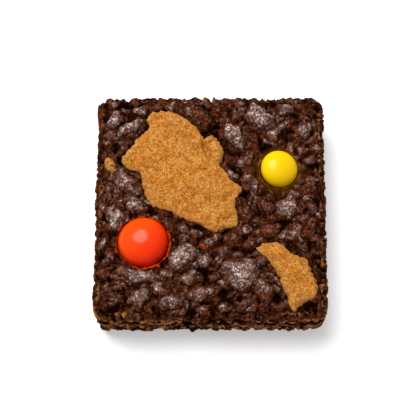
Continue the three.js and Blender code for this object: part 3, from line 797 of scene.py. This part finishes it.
def top_of(bit, x, y):
    """How high a bit's top lies, and below everything outside it."""
    middle, half, turn = bit
    across = distance_in((middle[0], middle[1], 2 * half[0], 2 * half[1], turn), x, y)
    return np.where(across < 1, middle[2] + half[2] * np.sqrt(np.maximum(0, 1 - across)), -np.inf)


def near_bits(points, bits):
    """1 at the middle of a bit, falling to 0 just outside it."""
    best = np.zeros(len(points))
    ragged = soft_noise(points, 0.8)
    for middle, half, turn in bits:
        away = points - middle
        across = distance_in((0, 0, 2 * half[0], 2 * half[1], turn), *away[:, :2].T)
        share = np.sqrt(across + (away[:, 2] / half[2]) ** 2)
        best = np.maximum(best, smooth_step(1.2, 1.0, share + 0.25 * ragged))
    return best


def build_brownie():
    # The crust, over the whole square
    line = np.linspace(-1, 1, GRID + 1)
    flat, out = on_rounded_square(*np.meshgrid(line, line))
    flat, out = flat.reshape(-1, 2), out.reshape(-1, 2)
    x, y = flat.T
    height, shine, cavity_shade, bare = crust(x, y)
    for bit in (COOKIE_BITS[0], SHELL_FLECK):
        height = np.maximum(height, top_of(bit, x, y))
    height, stains = cut_pockets(x, y, height)
    top = np.c_[x, y, height]
    index = np.arange((GRID + 1) ** 2).reshape(GRID + 1, GRID + 1)
    rim = np.r_[index[0, :-1], index[:-1, -1], index[-1, :0:-1], index[:0:-1, 0]]
    cell = [index[:-1, :-1], index[:-1, 1:], index[1:, 1:], index[1:, :-1]]
    faces = np.stack([corner.ravel() for corner in cell], 1).tolist()

    # The sides, from the crust's edge down to the base
    shares = np.arange(1, SIDE_ROWS + 1) / SIDE_ROWS
    level = np.tile(height[rim], SIDE_ROWS)
    z = level * (1 - np.repeat(shares, len(rim)))
    along = np.tile(np.arange(len(rim)) * ROUND / len(rim), SIDE_ROWS)
    around = np.tile(flat[rim], (SIDE_ROWS, 1))
    outward = np.tile(out[rim], (SIDE_ROWS, 1))
    reach, side_shade, ridge = side_reach(along, z, level, np.c_[around, z])
    walls = np.c_[around + outward * reach[:, None], z]
    rows = np.r_[[rim], len(top) + np.arange(SIDE_ROWS * len(rim)).reshape(SIDE_ROWS, -1)]
    for upper, lower in zip(rows[:-1], rows[1:]):
        faces += np.stack([upper, lower, np.roll(lower, -1), np.roll(upper, -1)], 1).tolist()
    faces.append(rows[-1][::-1].tolist())

    points = np.r_[top, walls]
    zero = np.zeros(len(walls))
    return mesh_object("brownie_baked", points, faces, {
        "shine": np.r_[shine, zero],
        "cavity_shade": np.r_[cavity_shade, side_shade],
        "cut": np.r_[bare, smooth_step(0.2, 1.8, level - z)],
        "ridge": np.r_[0.5 * bare, ridge],
        "orange": np.r_[stains["candy_orange"], zero],
        "yellow": np.r_[stains["candy_yellow"], zero],
        "cookie": near_bits(points, COOKIE_BITS),
        "fleck": near_bits(points, [SHELL_FLECK]),
    })


BATTER, BAKED_BATTER = (0.038, 0.0066, 0.0013), (0.108, 0.0245, 0.0066)
RUSTY, MILKY_AND_GLINT, BURNT = (0.19, 0.044, 0.0095), (0.31, 0.150, 0.102), (0.010, 0.0014, 0.0003)
PAINTED_SHEEN = (0.130, 0.062, 0.047)
CLEAR_SUGAR_AND_SHEEN, WHITE_SUGAR_AND_HIGHLIGHT = (0.090, 0.040, 0.030), (0.68, 0.475, 0.405)
CRUST_PINHOLE_SHADE = (0.008, 0.0013, 0.0003)
DARK_SHADED_CRUMB, PALE_LIT_CRUMB = (0.024, 0.0042, 0.0008), (0.53, 0.200, 0.0780)
DEEP_SHADE = (0.0030, 0.0004, 0.0001)
YELLOW_DYE, ORANGE_DYE, SHELL = (0.20, 0.070, 0.001), (0.62, 0.055, 0.001), (0.42, 0.040, 0.001)
PALE_BIT, BROWN_BIT = (0.58, 0.28, 0.070), (0.34, 0.115, 0.014)


def brownie_material():
    look = Shader("dark_brownie", Specular_IOR_Level=0.0, Coat_Roughness=0.24, Coat_IOR=1.5)
    cavity_shade, cut, shine = look.attribute("cavity_shade"), look.attribute("cut"), look.attribute("shine")

    # The crust: dark, reddish where it is thin, and mottled. Its paler mottling, stronger on the shiny
    # pillows, also stands in for glints, and a grey sheen is painted on the pillows
    colour = look.mix(look.span(look.noise(2.4, 3, 0.6), 0.38, 0.62), BATTER, BAKED_BATTER)
    colour = look.tint(colour, RUSTY, look.span(look.noise(1.3, 3, 0.6, 0.4), 0.54, 0.70), 0.6)
    mottled = look.noise(0.9, 3, 0.7, 0.5)
    paler = look.span(mottled, 0.53, 0.68)
    paler = look.math("MULTIPLY", paler, look.span(shine, -0.2, 0.5, 0.25, 0.75))
    colour = look.tint(colour, MILKY_AND_GLINT, paler)
    colour = look.tint(colour, BURNT, look.span(mottled, 0.47, 0.36), 0.9)
    colour = look.tint(colour, PAINTED_SHEEN, look.span(shine, 0.10, 0.8, 0.0, 0.40))

    # A film of dried sugar lies in ragged, crackled patches on top of the pillows, with pinholes.
    # Its grey tone and its white flakes and strands are also painted sheen and highlights
    ragged = look.span(look.noise(1.9, 4, 0.7), 0.3, 0.7, -0.40, 0.40)
    patch = look.span(look.math("ADD", shine, ragged), 0.28, 0.95)
    crackle = look.cell(1.5, "DISTANCE_TO_EDGE", look.warped(1.4, 2.4))
    film = look.math("MULTIPLY", patch, look.span(crackle, 0.02, 0.18, 0.15, 1.0))
    strand = look.math("ABSOLUTE", look.math("SUBTRACT", look.noise(1.5, 2, 0.6, 0.8), 0.5))
    flakes = look.span(look.noise(1.5, 3, 0.6), 0.42, 0.66)
    white = look.math("MAXIMUM", look.span(strand, 0.055, 0.015), flakes)
    colour = look.tint(colour, look.mix(white, CLEAR_SUGAR_AND_SHEEN, WHITE_SUGAR_AND_HIGHLIGHT), film, 0.9)
    # Painted shade: dark dots for pinholes
    colour = look.tint(colour, CRUST_PINHOLE_SHADE, look.span(look.cell(1.15), 0.24, 0.15), 0.95)

    # The crumb of the cut sides, grainy in tone and painted light where it stands out, then the
    # painted shade of creases, cracks and voids
    grain = look.span(look.noise(0.6, 3, 0.75, place=look.stretched(1, 1, 1.2)), 0.34, 0.64)
    lit = look.span(look.math("ADD", grain, look.attribute("ridge")), 0.36, 1.62)
    colour = look.mix(cut, colour, look.mix(lit, DARK_SHADED_CRUMB, PALE_LIT_CRUMB))
    crack = look.span(look.cell(2.6, "DISTANCE_TO_EDGE", look.warped(2.0, 4.0)), 0.09, 0.02)
    crack = look.math("MULTIPLY", crack, look.span(look.noise(3.0, 2), 0.42, 0.60))
    dark = look.math("MAXIMUM", cavity_shade, look.math("MULTIPLY", crack, 0.85))
    colour = look.tint(colour, DEEP_SHADE, dark, 0.96)

    # Dye from the sweets, and the bits
    colour = look.tint(colour, YELLOW_DYE, look.attribute("yellow"), 0.6)
    colour = look.tint(colour, ORANGE_DYE, look.attribute("orange"))
    sand = look.mix(look.span(look.noise(0.6, 4, 0.75), 0.40, 0.62), PALE_BIT, BROWN_BIT)
    colour = look.tint(colour, sand, look.attribute("cookie"))
    colour = look.tint(colour, SHELL, look.attribute("fleck"), 0.6)

    # Moist patches and sugar film are glossy, while crumb, creases and bits of cookie are matt
    dry = look.math("MAXIMUM", cut, look.math("MAXIMUM", cavity_shade, look.attribute("cookie")))
    rough = look.span(look.math("ADD", look.noise(1.3, 3), dry), 0.4, 1.1, 0.42, 0.85)
    moist_gloss_and_foot_shade = look.span(look.noise(1.8, 3), 0.46, 0.70, 0.0, 0.34)
    glossy = look.math("MAXIMUM", moist_gloss_and_foot_shade, look.math("MULTIPLY", film, 0.95))
    glaze = look.math("MULTIPLY", look.span(dry, 0.6, 0.0), glossy)
    relief = look.bump(look.noise(0.9, 3, 0.6), 0.04, 0.9)
    relief = look.bump(film, 0.04, 0.5, relief)
    return look.finish(
        Base_Color=colour, Roughness=rough, Coat_Weight=glaze, Normal=relief, Coat_Normal=relief
    )


brownie = build_brownie()
brownie.data.materials.append(brownie_material())
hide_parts("brownie")
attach(brownie, "root")


# The floor, the light and the camera. The brownie lies on a white table that glows a little from
# below. A soft round lamp hangs behind it to the left, and the camera looks down from the front.

FLOOR_HALF = 1.5
TILT = math.radians(19.5)  # the camera's tilt from straight down
DISTANCE = 0.422  # m, from the camera to the point that it looks at
AIM = Vector((-0.16, -2.07, 17.5)) * MM
LENS = 132.2  # mm, on a 36 mm sensor
KEY_WAY = Vector((-0.28, 0.32, 0.90)).normalized()  # from the brownie to the lamp
KEY_DISTANCE, KEY_SIZE, KEY_POWER = 0.9, 0.70, 9.3
SKY_STRENGTH = 0.35
GLOW = 0.33

bpy.ops.mesh.primitive_grid_add(x_subdivisions=2, y_subdivisions=2, size=2 * FLOOR_HALF)
floor = bpy.context.object
floor.name = "floor"
paper = Shader("white_sheet", Roughness=0.9, Specular_IOR_Level=0.1, Emission_Strength=GLOW)
white = paper.mix(paper.noise(0.4), (0.90, 0.90, 0.90), (0.92, 0.92, 0.92))
floor.data.materials.append(paper.finish(Base_Color=white))

light = bpy.data.lights.new("soft_box", "AREA")
light.shape = "DISK"
light.size = KEY_SIZE
light.energy = KEY_POWER
soft_box = bpy.data.objects.new("soft_box", light)
soft_box.location = KEY_WAY * KEY_DISTANCE
soft_box.rotation_euler = KEY_WAY.to_track_quat("Z", "Y").to_euler()
bpy.context.collection.objects.link(soft_box)

world = bpy.data.worlds.new("room")
world.use_nodes = True
world.node_tree.nodes["Background"].inputs["Color"].default_value = (1.0, 1.0, 1.0, 1.0)
world.node_tree.nodes["Background"].inputs["Strength"].default_value = SKY_STRENGTH
bpy.context.scene.world = world

lens = bpy.data.cameras.new("camera")
lens.lens = LENS
camera = bpy.data.objects.new("camera", lens)
camera.rotation_euler = (TILT, 0, 0)
camera.location = AIM - Vector((0, math.sin(TILT), -math.cos(TILT))) * DISTANCE
bpy.context.collection.objects.link(camera)
bpy.context.scene.camera = camera
bpy.context.scene.view_settings.view_transform = "Standard"
